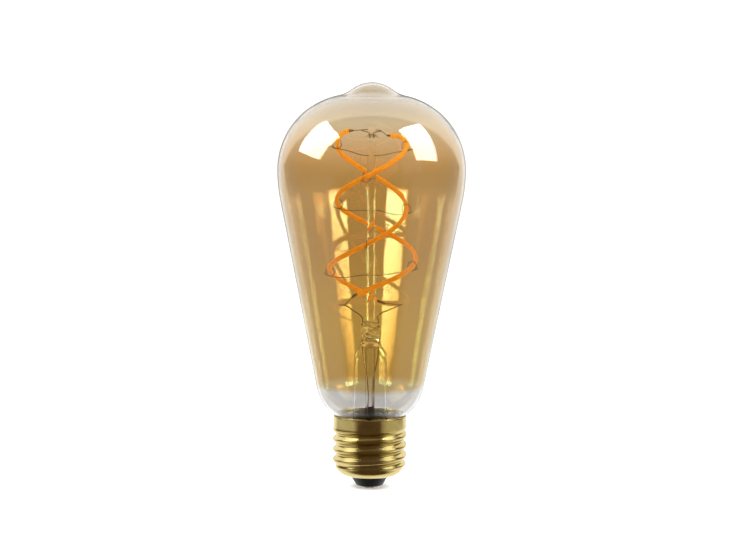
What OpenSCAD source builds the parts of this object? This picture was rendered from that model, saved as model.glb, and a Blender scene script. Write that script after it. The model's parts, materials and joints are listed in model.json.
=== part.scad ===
// Decorative LED filament lamp: pear-shaped glass, two flexible spiral LED filaments
// hung from a glass rod, and an E27 screw cap that holds the driver and the radio.
// Millimetres. The origin is the middle of the centre contact's flat face and +Z runs
// up the lamp's axis to the tip of the glass. +X is right and -Y is the front.

/* [Glass bulb] */
// Overall height from the centre contact to the tip
lamp_h = 142; // [138:0.5:146]
// Largest outside radius of the glass
bulb_r = 32.8; // [31.5:0.1:34]
// Height of the largest radius
belly_z = 111.5; // [110:0.5:113]
// Half angle of the tapering body, in degrees
body_taper = 11.13; // [10.8:0.05:11.4]
// Height of the straight taper's end, above the bottom shoulder
taper_end_z = 34.9; // [34:0.1:36]
// Glass wall thickness
glass_t = 0.9; // [0.6:0.1:1.1]
// Outside radius of the neck inside the cap
neck_r = 11.3; // [11:0.1:11.4]
// Lower end of the neck
neck_z = 17.5; // [17:0.1:18.5]

/* [Screw cap] */
// Crest radius of the E27 thread
crest_r = 13.05; // [13.02:0.01:13.1]
// Root radius of the E27 thread
root_r = 12; // [11.98:0.01:12.13]
// Thread pitch, 7 turns to the inch
pitch = 3.629; // [3.6:0.001:3.66]
// Outside radius of the plain skirt above the thread
skirt_r = 12.85; // [12.8:0.01:12.9]
// Top edge of the skirt
skirt_top_z = 25.3; // [25:0.1:25.5]
// Sheet brass thickness
brass_t = 0.3; // [0.2:0.05:0.35]
// Height of the brass above the centre contact's face
brass_z = 4; // [3.8:0.1:4.2]
// Radius of the centre contact
contact_r = 3.8; // [3.6:0.1:4.2]

/* [Glass stem] */
// Radius of the centre rod
rod_r = 1.5; // [1.3:0.1:1.7]
// Underside of the bead on top of the rod
bead_z = 121.6; // [120:0.2:122]
// Radius of the bead
bead_r = 2.4; // [2.2:0.1:2.6]
// Lower face of the press that seals the wires
press_low_z = 50; // [49.8:0.1:50.2]
// Upper face of the press
press_high_z = 58.6; // [58.4:0.1:58.8]
// Half width of the press
press_half_w = 3.3; // [3.25:0.05:3.5]
// Half thickness of the press
press_half_t = 1.5; // [1.4:0.05:1.7]
// Radius of the exhaust tube
exhaust_r = 1.6; // [1.5:0.05:1.7]

/* [Filaments] */
// Angle of the first filament's top end, clockwise from the right as seen from above
start_angle_1 = 130; // [126:1:134]
// Angle of the second filament's top end
start_angle_2 = -55; // [-59:1:-51]
// Angle of the first filament's bottom end
end_angle_1 = 640; // [636:1:642]
// Angle of the second filament's bottom end
end_angle_2 = 470; // [466:1:472]
// Height of the first filament's top end
start_z_1 = 125.3; // [125.1:0.1:125.5]
// Height of the second filament's top end
start_z_2 = 123.3; // [123.1:0.1:123.5]
// Fall of the first filament in mm for each degree
fall_1 = 0.1214; // [0.121:0.0002:0.1218]
// Fall of the second filament in mm for each degree
fall_2 = 0.1084; // [0.108:0.0002:0.1088]
// Degrees over which the first filament leaves its top end level
ease_1 = 20; // [15:1:25]
// Degrees over which the second filament leaves its top end level
ease_2 = 60; // [55:1:65]
// Spiral radius at the top
spiral_r = 12.1; // [11.9:0.1:12.3]
// Swelling of the spiral at its lowest turn
swell = 3.2; // [3:0.1:3.4]
// Half width of a phosphor sleeve
sleeve_half_w = 0.85; // [0.82:0.01:0.9]
// Half thickness of a phosphor sleeve
sleeve_half_t = 0.78; // [0.75:0.01:0.82]

/* [Wires] */
// Radius of the support hooks
hook_r = 0.17; // [0.14:0.01:0.2]
// Radius of the lead wires
lead_r = 0.2; // [0.17:0.01:0.22]
// Angle of the first filament's top hook
hook_angle_1 = 182; // [180:1:184]
// Angle of the second filament's top hook
hook_angle_2 = 8; // [6:1:10]
// Angle from hook to hook on the first filament
hook_step_1 = 92; // [91:0.5:93]
// Angle from hook to hook on the second filament
hook_step_2 = 95; // [94:0.5:96]

/* [Hidden] */
HOOKS = 5;
$fn = 96;

// Room left between pieces that touch
gap = 0.02;

// Pairs of one piece's settings, and of the two filaments' settings
press_z = [press_low_z, press_high_z];
press_half = [press_half_w, press_half_t];
sleeve_half = [sleeve_half_w, sleeve_half_t];
start_angle = [start_angle_1, start_angle_2];
end_angle = [end_angle_1, end_angle_2];
start_z = [start_z_1, start_z_2];
fall = [fall_1, fall_2];
ease = [ease_1, ease_2];
hook_angle = [hook_angle_1, hook_angle_2];
hook_step = [hook_step_1, hook_step_2];
// Drop of each pair of hooks' roots below the filaments that they carry
hook_drop = [3.4, 0.8, 1, 0.8, 2.2];

// ---- Points, arcs and sweeps ----

function unit(v) = v / norm(v);
function arc(c, r, a0, a1, n) = [for (i = [0:n]) let (a = a0 + (a1 - a0) * i / n) c + r * [cos(a), sin(a)]];
function angle_to(a, b) = atan2(b[1] - a[1], b[0] - a[0]);
function reversed(p) = [for (i = [len(p) - 1:-1:0]) p[i]];
function ellipse(a, b, n) = [for (j = [0:n - 1]) [a * cos(360 * j / n), b * sin(360 * j / n)]];

// A rectangle from lo to hi, walked round from its right edge, with n points where n is a multiple of 4
function slab(lo, hi, n) = [
    for (j = [0:n - 1])
        let (s = 4 * (j + n / 8) / n, side = floor(s) % 4, t = s - floor(s), c = [hi, [lo[0], hi[1]], lo, [hi[0], lo[1]]])
        c[(side + 3) % 4] * (1 - t) + c[side] * t
];

function tangent(p, i) = unit(p[min(i + 1, len(p) - 1)] - p[max(i - 1, 0)]);

// One ring of points round p[i]. side is the direction that the section's first coordinate leans to.
function ring(p, i, side, section) =
    let (t = tangent(p, i), v = unit(cross(t, side)), u = cross(v, t))
    [for (s = section) p[i] + s[0] * u + s[1] * v];

// Triangles of a closed band between ring a and ring b of n points, seen from outside
function band(a, b, n) = [
    for (j = [0:n - 1]) let (k = (j + 1) % n) each [[a + j, b + j, b + k], [a + j, b + k, a + k]]
];

// A solid swept along path. sides and sections hold one entry for each point of the path.
module sweep(path, sides, sections) {
    n = len(sections[0]);
    last = (len(path) - 1) * n;
    polyhedron(
        points = [for (i = [0:len(path) - 1]) each ring(path, i, sides[i], sections[i])],
        faces = concat(
            [for (i = [0:len(path) - 2]) each band(i * n, (i + 1) * n, n)],
            [[for (j = [0:n - 1]) j]],
            [[for (j = [n - 1:-1:0]) last + j]]
        )
    );
}

// The same, hollow from end to end, with an inner section of as many points
module hollow_sweep(path, sides, outer, inner) {
    n = len(outer);
    rows = len(path);
    start = rows * n;
    last = (rows - 1) * n;
    polyhedron(
        points = concat(
            [for (i = [0:rows - 1]) each ring(path, i, sides[i], outer)],
            [for (i = [0:rows - 1]) each ring(path, i, sides[i], inner)]
        ),
        faces = concat(
            [for (i = [0:rows - 2]) each band(i * n, (i + 1) * n, n)],
            [for (i = [0:rows - 2]) each band(start + (i + 1) * n, start + i * n, n)],
            band(start, 0, n),
            band(last, start + last, n)
        )
    );
}

// side, carried along path from point i on so that it turns no more than the path does
function carried(path, side, i = 0) = i == len(path) ? [] : let (
    t = tangent(path, i),
    s = unit(side - (side * t) * t)
) concat([s], carried(path, s, i + 1));

// A round wire through path. side is any direction across its first stretch.
module wire(path, r, side, n = 8) {
    sweep(path, carried(path, side), [for (p = path) ellipse(r, r, n)]);
}

// ---- Outline of the glass bulb ----

tip_radius = 11.5;
tip_blend = 12;
crown_radius = 26.5;
turn_radius = 54;
shoulder_radius = 15;
mouth_r = 12.8;
tip_c = [0, lamp_h - tip_radius];
crown_c = [bulb_r - crown_radius, belly_z];

// Middle of the hollow arc between the tip and the crown, touching both from outside
blend_c = let (
    d = norm(crown_c - tip_c),
    u = (crown_c - tip_c) / d,
    a = tip_radius + tip_blend,
    b = crown_radius + tip_blend,
    x = (a * a - b * b + d * d) / (2 * d)
) tip_c + x * u + sqrt(a * a - x * x) * [-u[1], u[0]];

// Middle of the arc that turns from the belly into the straight taper
turn_c = [bulb_r - turn_radius, belly_z];
taper_side = [cos(body_taper), -sin(body_taper)];
taper_top = turn_c + turn_radius * taper_side;
taper_low = [taper_top[0] - (taper_top[1] - taper_end_z) * tan(body_taper), taper_end_z];

// Middle of the arc that turns the taper in to the cap, and of the hollow arc inside the cap's mouth
low_c = taper_low - shoulder_radius * taper_side;
mouth_a = -acos((mouth_r - low_c[0]) / shoulder_radius);
mouth_p = low_c + shoulder_radius * [cos(mouth_a), sin(mouth_a)];
neck_blend = (mouth_p[0] - neck_r) / (1 - cos(mouth_a));
neck_c = mouth_p + neck_blend * [cos(mouth_a), sin(mouth_a)];

// The outline, moved inwards by t, from the tip down to the neck's end
function outline(t) = let (
    a_tip = angle_to(tip_c, blend_c),
    a_crown = angle_to(crown_c, blend_c)
) concat(
    arc(tip_c, tip_radius - t, 90, a_tip, 8),
    arc(blend_c, tip_blend + t, a_tip + 176, a_crown + 180, 6),
    arc(crown_c, crown_radius - t, a_crown - 3, 0, 26),
    arc(turn_c, turn_radius - t, -1.6, -body_taper, 6),
    arc(low_c, shoulder_radius - t, -body_taper, mouth_a, 12),
    arc(neck_c, neck_blend + t, mouth_a + 188, 180, 6),
    [[neck_r - t, neck_z]]
);

module glass_envelope() {
    color([0.85, 0.6, 0.25, 0.4])
        rotate_extrude() polygon(concat(outline(0), reversed(outline(glass_t))));
}

// ---- Glass stem ----

tube_t = 0.8;
tube_top_r = 4;
tube_dome_c = [1.7, 46.2];
tube_dome_radius = 4.1;
flare_radius = 7;
flare_c = [13.4, 25.4];

// Outline of the stem tube, moved inwards by t: press end, dome, long tube and the flared foot
function stem_outline(t) = concat(
    [[tube_top_r - t, press_z[0]]],
    arc(tube_dome_c, tube_dome_radius - t, 54, 0, 7),
    arc(flare_c, flare_radius + t, 180, 244, 10)
);

module stem_tube() {
    foot_z = neck_z - gap;
    color([0.9, 0.95, 0.95, 0.4]) rotate_extrude() polygon(concat(
        stem_outline(0),
        [[neck_r - glass_t, foot_z], [neck_r, foot_z], [neck_r, foot_z - tube_t]],
        reversed(stem_outline(tube_t))
    ));
}

seal_x = 2.75;

module stem_press() {
    foot = 0.6;
    color([0.9, 0.95, 0.95, 0.5]) difference() {
        hull() {
            translate([0, 0, press_z[0] + gap]) cylinder(r = tube_top_r, h = foot, $fn = 32);
            for (x = [-1, 1], z = [press_z[0] + 2.4, press_z[1] - 0.5])
                translate([x * (press_half[0] - 0.6), 0, z])
                    cube([1.2, press_half[1] * 2, 1], center = true);
        }
        for (x = [-1, 1])
            translate([x * seal_x, 0, press_z[0] - 1]) cylinder(r = lead_r + gap, h = 12);
    }
}

module exhaust_tube() {
    bore = 1.1;
    tip_z = 18.4;
    color([0.9, 0.95, 0.95, 0.4]) difference() {
        union() {
            translate([0, 0, tip_z]) cylinder(r = exhaust_r, h = press_z[0] - tip_z);
            translate([0, 0, tip_z]) sphere(r = exhaust_r);
        }
        translate([0, 0, tip_z]) cylinder(r = bore, h = press_z[0] - tip_z - 1);
    }
}

// The rod is drilled where each hook's root is sealed in it
module centre_rod() {
    color([0.95, 0.9, 0.8, 0.5]) difference() {
        translate([0, 0, press_z[1] + gap]) cylinder(r = rod_r, h = bead_z - press_z[1] - 2 * gap);
        for (f = [0, 1], k = [0:HOOKS - 1])
            translate([0, 0, hook_root_z(k)]) rotate([0, 90, -hook_a(f, k)])
                translate([0, 0, hook_root_r - gap]) cylinder(r = hook_r + gap, h = rod_r);
    }
}

bead_wire_r = 0.95;

module rod_bead() {
    bead_h = 2.7;
    edge = 0.9;
    color([0.95, 0.9, 0.8, 0.5]) difference() {
        rotate_extrude() polygon(concat(
            [[0, bead_z], [rod_r, bead_z]],
            arc([bead_r - edge, bead_z + 1.2], edge, -70, 90, 8),
            arc([0, bead_z + bead_h - 4], 4, 68, 90, 4)
        ));
        for (f = [0, 1])
            translate(on_spiral(bead_wire_r, start_angle[f], bead_z + 1))
                cylinder(r = hook_r + gap, h = bead_h);
    }
}

// ---- Filaments ----

// A point at radius r, clockwise angle a and height z
function on_spiral(r, a, z) = [r * cos(a), -r * sin(a), z];
function outwards(a) = [cos(a), -sin(a), 0];
function fall_at(f, a) = let (d = a - start_angle[f])
    fall[f] * (d < ease[f] ? d * d / (2 * ease[f]) : d - ease[f] / 2);
function spiral_z(f, a) = start_z[f] - fall_at(f, a);

// The lowest turn swells round this height, and leans to the right
swell_z = 78;
swell_reach = 11;
lean = 0.7;
function swelling(z) = exp(-pow((z - swell_z) / swell_reach, 2));
function spiral_p(f, a) = let (z = spiral_z(f, a))
    on_spiral(spiral_r + swell * swelling(z), a, z) + [lean * swelling(z), 0, 0];

RINGS = 56;
function ring_a(f, i) = start_angle[f] + (end_angle[f] - start_angle[f]) * i / RINGS;
function spiral(f, first, last) = [for (i = [first:last]) spiral_p(f, ring_a(f, i))];
function facings(f, first, last) = [for (i = [first:last]) outwards(ring_a(f, i))];

// The slot for the strip and its chips: inwards, outwards, and half across
slot = [-0.13, 0.4, 0.5];
strip = [-0.1, 0.04, 0.44];
chip = [0.5, 0.22, 0.24];

module phosphor_sleeve(f) {
    color("orange") hollow_sweep(
        spiral(f, 0, RINGS), facings(f, 0, RINGS),
        ellipse(sleeve_half[1], sleeve_half[0], 12),
        slab([slot[0], -slot[2]], [slot[1], slot[2]], 12)
    );
}

module led_strip(f) {
    color("white") sweep(
        spiral(f, 1, RINGS - 1), facings(f, 1, RINGS - 1),
        [for (i = [1:RINGS - 1]) slab([strip[0], -strip[2]], [strip[1], strip[2]], 4)]
    );
}

module led_chips(f) {
    path = spiral(f, 0, RINGS);
    for (i = [2:2:RINGS - 2]) {
        t = tangent(path, i);
        v = unit(cross(t, outwards(ring_a(f, i))));
        u = cross(v, t);
        at = path[i] + u * (strip[1] + 0.03 + chip[1] / 2);
        color("skyblue") multmatrix([
            [t[0], u[0], v[0], at[0]],
            [t[1], u[1], v[1], at[1]],
            [t[2], u[2], v[2], at[2]]
        ]) cube([chip[0], chip[1], chip[2] * 2], center = true);
    }
}

// A tab that runs on from a filament's end and narrows to a round pigtail.
// path's first point is where the strip ends, and tab counts the points that stay flat.
module terminal(path, tab, facing) {
    flat_half = [0.06, 0.42];
    pigtail_r = 0.15;
    color("dimgray") sweep(
        path, carried(path, facing),
        [for (i = [0:len(path) - 1]) i < tab ? ellipse(flat_half[0], flat_half[1], 8) : ellipse(pigtail_r, pigtail_r, 8)]
    );
}

// How far a pigtail lies from the wire that it is welded to
weld = [0, 0, 0.34];
function bead_wire_tip(f) = on_spiral(5, start_angle[f], max(start_z[f], bead_z + 3.4) + 0.1);

module top_terminal(f) {
    root = spiral_p(f, ring_a(f, 0));
    inner = root + (spiral_p(f, ring_a(f, 0)) - spiral_p(f, ring_a(f, 1))) * -0.9;
    step = unit(root - spiral_p(f, ring_a(f, 1)));
    to_weld = bead_wire_tip(f) + weld;
    terminal(
        [inner, root, root + step * 1.1, root + step * 1.7 - outwards(start_angle[f]) * 0.6,
            to_weld, to_weld - outwards(start_angle[f]) * 2.6],
        3, outwards(start_angle[f])
    );
}

// Where the pigtails are welded to the leads: filament 1 to the right lead and filament 2 to the left
lead_weld = [[10.2, 5.8, 63.6], [-8.8, -6, 64.8]];

module bottom_terminal(f) {
    root = spiral_p(f, end_angle[f]);
    before = spiral_p(f, ring_a(f, RINGS - 1));
    step = unit(root - before);
    to_weld = lead_weld[f] + weld;
    tab_end = root + step * 1.6 + unit(to_weld - root) * 1.6;
    terminal(
        [before + (root - before) * 0.1, root, root + step * 1.2, tab_end, tab_end + unit(to_weld - tab_end) * 0.5, to_weld,
            to_weld + unit(to_weld - tab_end) * 0.8],
        4, outwards(end_angle[f])
    );
}

// A wire that rises from the bead to hold a filament's top end
module bead_wire(f) {
    a = start_angle[f];
    color("dimgray") wire([
        on_spiral(bead_wire_r, a, bead_z + 1.1),
        on_spiral(bead_wire_r, a, bead_z + 2.5),
        on_spiral(1.6, a, bead_z + 3.1),
        bead_wire_tip(f),
        bead_wire_tip(f) + [0, 0, -0.05] + outwards(a) * 0.5
    ], hook_r - 0.02, [sin(a), cos(a), 0]);
}

// ---- Support hooks ----

hook_root_r = 0.7;
function hook_a(f, k) = hook_angle[f] + hook_step[f] * k;
function hook_root_z(k) = (spiral_z(0, hook_a(0, k)) + spiral_z(1, hook_a(1, k))) / 2 - hook_drop[k];

// A straight wire from the rod that curls once round the filament and ends in a short tail
module hook(f, k) {
    loop_r = 1.4;
    LOOP = 14;
    a = hook_a(f, k);
    out = outwards(a);
    along = [-sin(a), -cos(a), 0];
    hold = spiral_p(f, a);
    centre = hold + [0, 0, 0.3];
    root = on_spiral(hook_root_r, a, hook_root_z(k));
    foot = centre + [0, 0, -loop_r];
    shift = 0.5;
    curl = [for (i = [0:LOOP]) let (t = -90 + 360 * i / LOOP)
        centre + loop_r * (cos(t) * out + sin(t) * [0, 0, 1]) + along * shift * (i / LOOP - 0.5)];
    tail = curl[LOOP] + out * 1.6 + [0, 0, 0.35];
    color("dimgray") wire(
        concat([root, root + out * 1.6, foot - out * 3 - [0, 0, 0.5] - along * shift / 2], curl, [tail, tail + out * 0.8 + [0, 0, 0.6]]),
        hook_r, along, 6
    );
}

// ---- Lead wires ----

upper_route = [
    [[seal_x, 0, 58.2], [seal_x, 0, 59], [2.4, 0, 60.1], [3.2, 0.6, 61.1], [6.7, 3, 62.4], lead_weld[0], [11.4, 6.6, 63.8]],
    [[-seal_x, 0, 58.2], [-seal_x, 0, 59], [-3, -0.2, 60], [-5.7, -2.6, 62.4], [-7.4, -4.6, 63.8], lead_weld[1], [-10.9, -7, 65.1]]
];
lower_route = [
    [[seal_x, 0, 50.4], [seal_x, 0, 48.5], [2.3, 1.4, 44], [1.2, 2.4, 38], [1.4, 2.5, 24], [3, 0.6, 17.2], [3, -0.3, 15.2], [3, -0.3, 13.6]],
    [[-seal_x, 0, 50.4], [-seal_x, 0, 48.5], [-2, -1.5, 44], [-0.9, -2.4, 38], [-1.2, -2.5, 24], [-3, -1.2, 17.2], [-3, -0.3, 15.2], [-3, -0.3, 13.6]]
];

module upper_lead(f) { color("dimgray") wire(upper_route[f], lead_r - gap, [0, 1, 0]); }
module lower_lead(f) { color("peru") wire(lower_route[f], lead_r - gap, [0, 1, 0]); }

module seal_wire(f) {
    x = f == 0 ? seal_x : -seal_x;
    color("brown") translate([x, 0, 50.45]) cylinder(r = lead_r, h = 7.7);
}

// ---- Screw cap ----

rim_radius = 5.2;
rim_c = [(crest_r + root_r) / 2 - rim_radius, brass_z + rim_radius];
rim_hole_r = 6.75;
thread_z = [7.2, 21.3];
thread_fade = [1.2, 1.8];
crest_z = 11.4;
STEPS = 48;

// Share of the full thread depth at height z
function fade(z) = min(1, (z - thread_z[0]) / thread_fade[0], (thread_z[1] - z) / thread_fade[1]);

// Middle radius of the thread at height z, set in by t: it widens into the skirt over the last
// turn and rounds in to the rim over the first
function thread_mid(z, t) = let (top = max(0, (z - thread_z[1] + 2.4) / 2.4))
    z > rim_c[1] ? rim_c[0] + rim_radius - t + (skirt_r - rim_c[0] - rim_radius) * top
    : rim_c[0] + sqrt(pow(rim_radius - t, 2) - pow(z - rim_c[1], 2));

// Rows of the shell's wall, set in by t, from the mouth to the rim's hole: radius, height and thread depth
function shell_rows(t) = concat(
    [[skirt_r - t, skirt_top_z, 0], [skirt_r - t, thread_z[1] + 0.5, 0]],
    [for (z = [thread_z[1]:-pitch / 9:thread_z[0] + 0.1]) [thread_mid(z, t), z, fade(z)]],
    [for (p = arc(rim_c, rim_radius - t, -23, -90, 7)) [p[0], p[1], 0]],
    [[rim_hole_r, brass_z + t, 0]]
);

module screw_shell() {
    rows = concat(shell_rows(0), reversed(shell_rows(brass_t)));
    depth = (crest_r - root_r) / 2;
    count = len(rows);
    color("goldenrod") polyhedron(
        points = [for (row = rows, j = [0:STEPS - 1])
            let (a = 360 * j / STEPS, r = row[0] + row[2] * depth * cos(360 * (row[1] - crest_z) / pitch - a))
            [r * cos(a), r * sin(a), row[1]]],
        faces = [for (i = [0:count - 1]) each band(((i + 1) % count) * STEPS, i * STEPS, STEPS)]
    );
}

module insulator() {
    shank_hole = 1.3;
    color([0.1, 0.1, 0.1]) rotate_extrude() polygon(concat(
        [[shank_hole, 0.5], [contact_r + 0.2, 0.5], [5, 1.1], [rim_hole_r - gap, brass_z - 0.1], [rim_hole_r - gap, brass_z + brass_t + 2 * gap]],
        arc(rim_c, rim_radius - brass_t - 0.05, -86, -42, 8),
        [[9.8, 7], [shank_hole, 7]]
    ));
}

module centre_contact() {
    shank_r = 1.25;
    bore_r = 0.5;
    color("gold") rotate_extrude() polygon([
        [1.4, 0], [contact_r - 0.4, 0], [contact_r, 0.35], [contact_r, 0.48],
        [shank_r, 0.48], [shank_r, 6.4], [bore_r, 6.4], [bore_r, 0.32], [1.4, 0.32]
    ]);
}

module contact_solder() {
    color("silver") translate([0, 0, 0.03]) cylinder(r = 1.38, h = 0.27);
}

// Cement fills the room between the neck and the shell
module cement_ring() {
    low = 18.4;
    step_z = 20.4;
    color("ivory") rotate_extrude() polygon(concat(
        [[neck_r + gap, low], [root_r - brass_t - 0.05, low], [root_r - brass_t - 0.05, step_z]],
        [[skirt_r - brass_t - 0.05, thread_z[1] + 0.7], [skirt_r - brass_t - 0.05, 24.9]],
        arc(neck_c, neck_blend - gap, 147, 180, 6)
    ));
}

// ---- Driver and radio inside the cap ----

liner_r = 11.3;
liner_z = [7.3, 15.3];
board_z = [7.6, 15.8];
board_t = 1;
board_w = 20.4;

module insulating_liner() {
    color("whitesmoke") difference() {
        translate([0, 0, liner_z[0]]) cylinder(r = liner_r, h = liner_z[1] - liner_z[0]);
        translate([0, 0, liner_z[0] - 1]) cylinder(r = liner_r - 0.45, h = 20);
    }
}

module driver_board() {
    color("darkgreen") translate([-board_w / 2, gap, board_z[0]])
        cube([board_w, board_t, board_z[1] - board_z[0]]);
}

module bridge_rectifier() {
    color("dimgray") translate([-8.4, board_t + 2 * gap, 9]) cube([4.7, 1.5, 3.9]);
}

module filter_capacitor() {
    color("navy") translate([0.8, -2.75, 11.4]) rotate([0, 90, 0]) cylinder(r = 2.5, h = 7.8);
}

choke_at = [-5.4, 0, 11.6];

module choke_core() {
    color("gray") translate(choke_at) rotate([90, 0, 0]) rotate_extrude() polygon([
        [0, 0], [2.4, 0], [2.4, 0.9], [1.1, 0.9], [1.1, 4.7], [2.4, 4.7], [2.4, 5.6], [0, 5.6]
    ]);
}

module choke_winding() {
    color("chocolate") translate(choke_at - [0, 0.95, 0]) rotate([90, 0, 0]) difference() {
        cylinder(r = 2.1, h = 3.7);
        translate([0, 0, -1]) cylinder(r = 1.15, h = 6);
    }
}

chip_at = [-1.6, board_t + 0.25, 9.2];

module control_chip() {
    color([0.15, 0.15, 0.15]) translate(chip_at) cube([4.9, 1.4, 3.9]);
}

module chip_legs() {
    color("silver") for (i = [0:3], side = [0, 1])
        translate(chip_at + [0.35 + i * 1.27, -0.2, side * 3.92 - (1 - side) * 1.12]) cube([0.4, 0.15, 1.1]);
}

resistor_at = [0.2, -1.3, 8.1];

module fusible_resistor() {
    color("seagreen") translate(resistor_at) rotate([0, 90, 0]) cylinder(r = 0.95, h = 5);
}

radio_at = [-6.5, 4, 7.8];

module radio_board() {
    color("darkblue") translate(radio_at) cube([13, 0.8, 8]);
}

module radio_shield() {
    color("silver") translate(radio_at + [0.6, 0.8 + gap, 0.8]) difference() {
        cube([7.6, 1.8, 6.4]);
        translate([0.2, -0.2, 0.2]) cube([7.2, 1.8, 6]);
    }
}

// A printed meander at the end of the radio board
module radio_antenna() {
    color("goldenrod") translate(radio_at + [8.8, 0.8 + gap, 0.8]) for (i = [0:3]) {
        translate([0, 0, i * 1.8]) cube([3.2, 0.1, 0.4]);
        translate([i % 2 == 0 ? 2.8 : 0, 0, i * 1.8]) cube([0.4, 0.1, i < 3 ? 2.2 : 0.4]);
    }
}

module radio_pins() {
    color("gold") for (i = [0:4])
        translate([-5.6 + i * 1.27, board_t + 2 * gap, 14.6]) rotate([-90, 0, 0])
            cylinder(r = 0.25, h = radio_at[1] - board_t - 3 * gap);
}

module live_wire() {
    end = resistor_at - [gap, 0, 0];
    color("red") wire([
        [0, 0, 0.34], [0, 0, 6.2], [-0.2, -0.2, 7], [-0.8, -0.9, 7.8], [-0.7, -1.3, 8.1], end - [0.3, 0, 0], end
    ], 0.3, [0, 1, 0]);
}

module neutral_wire() {
    color("black") wire([
        [8.9, -0.3, 13.4], [9.1, -0.3, 14.8], [10.2, -0.5, 15.9], [11.2, -0.6, 15.8], [11.45, -0.6, 15], [11.45, -0.6, 12.6]
    ], 0.17, [0, 1, 0]);
}

// Solder under the wire ends that lie along the driver board
module solder_pads() {
    for (at = [[3, 13.7], [-3, 13.7], [8.95, 13.5]])
        color("silver") translate([at[0] - 0.5, -0.12, at[1]]) cube([1, 0.12, 1.2]);
}

// ---- The nodes ----

glass_envelope();
stem_tube();
stem_press();
exhaust_tube();
centre_rod();
rod_bead();
screw_shell();
insulator();
centre_contact();
contact_solder();
cement_ring();
insulating_liner();
driver_board();
bridge_rectifier();
filter_capacitor();
choke_core();
choke_winding();
control_chip();
chip_legs();
fusible_resistor();
radio_board();
radio_shield();
radio_antenna();
radio_pins();
solder_pads();
live_wire();
neutral_wire();
for (f = [0, 1]) {
    phosphor_sleeve(f);
    led_strip(f);
    led_chips(f);
    top_terminal(f);
    bottom_terminal(f);
    bead_wire(f);
    upper_lead(f);
    seal_wire(f);
    lower_lead(f);
    for (k = [0:HOOKS - 1])
        hook(f, k);
}
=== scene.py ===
# %% [markdown]
# # A filament lamp with a radio in its cap
# This lamp is a pear of amber glass over two orange LED spirals. A glass rod holds the spirals, a
# glass stem holds the rod, and a brass screw cap holds the stem, the driver and the radio. The packed
# CAD model is the frame: it fixes every size and place. This file gives each piece its finished
# surface, so it starts by loading the frame.

# %% Load the frame
import json
import math

import bmesh
import bpy
from mathutils import Matrix, Vector


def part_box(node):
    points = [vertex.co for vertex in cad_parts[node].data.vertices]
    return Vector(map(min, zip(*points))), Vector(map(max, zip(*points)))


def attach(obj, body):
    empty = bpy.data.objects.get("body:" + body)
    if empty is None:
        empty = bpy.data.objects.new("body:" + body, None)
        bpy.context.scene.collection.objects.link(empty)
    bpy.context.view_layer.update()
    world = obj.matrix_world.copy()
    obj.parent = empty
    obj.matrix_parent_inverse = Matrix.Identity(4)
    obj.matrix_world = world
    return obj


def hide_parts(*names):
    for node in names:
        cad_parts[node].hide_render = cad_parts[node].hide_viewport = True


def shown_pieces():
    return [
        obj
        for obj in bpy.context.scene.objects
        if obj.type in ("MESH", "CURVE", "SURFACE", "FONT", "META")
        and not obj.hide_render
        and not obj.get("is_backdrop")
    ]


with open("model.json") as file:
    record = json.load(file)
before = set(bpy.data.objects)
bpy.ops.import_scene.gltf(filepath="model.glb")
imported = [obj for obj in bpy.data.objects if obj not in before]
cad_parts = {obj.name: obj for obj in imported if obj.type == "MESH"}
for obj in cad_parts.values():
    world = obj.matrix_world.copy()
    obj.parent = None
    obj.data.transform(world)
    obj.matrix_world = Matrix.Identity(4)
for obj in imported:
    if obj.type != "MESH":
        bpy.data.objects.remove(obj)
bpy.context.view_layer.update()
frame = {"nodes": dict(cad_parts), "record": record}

BODY = "root"
MM = 0.001

# %% [markdown]
# ## Reading sizes off the frame
# A maker measures the part in hand before making the next one. Most sizes below are read from the CAD
# nodes' boxes in millimetres. Those that a box can't show, such as the radius of an arc or the rule of a
# spiral, are named values with the same meaning as in the design.

# %% Measure the main pieces
def size_of(node):
    """Lowest and highest corner of a CAD node, in millimetres."""
    return tuple(Vector(corner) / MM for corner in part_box(node))


lamp_h = size_of("glass_envelope")[1].z
neck_z = size_of("glass_envelope")[0].z
bulb_r = size_of("glass_envelope")[1].x
skirt_top_z = size_of("screw_shell")[1].z
brass_z = size_of("screw_shell")[0].z
rod_r = size_of("centre_rod")[1].x
rod_z = (size_of("centre_rod")[0].z, size_of("centre_rod")[1].z)
press_z = (size_of("stem_press")[0].z, size_of("stem_press")[1].z)
print("lamp", round(lamp_h, 2), "mm tall and", round(2 * bulb_r, 2), "mm wide")

# %% [markdown]
# ## Camera
# The lamp is seen from the front, a little above its middle, through a long lens, so its sides stay
# almost parallel. The camera is made before anything else because every later choice is judged
# through it.

# %% Place the camera
VIEW_W = 257.0
LENS = 110.0
SENSOR = 36.0
CAMERA_RISE = math.radians(5.4)
CAMERA_ROLL = math.radians(-0.4)
look_at = Vector((-1.7, 0.0, 76.2)) * MM
reach = VIEW_W * LENS / SENSOR * MM

camera = bpy.data.objects.new("camera", bpy.data.cameras.new("camera"))
camera.data.lens = LENS
camera.data.sensor_width = SENSOR
camera.data.clip_start = 0.01
away = Vector((0.0, -math.cos(CAMERA_RISE), math.sin(CAMERA_RISE)))
camera.location = look_at + away * reach
camera.rotation_euler = (math.pi / 2 - CAMERA_RISE, CAMERA_ROLL, 0.0)
bpy.context.scene.collection.objects.link(camera)
bpy.context.scene.camera = camera
print("camera stands", round(reach, 3), "m away")

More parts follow.
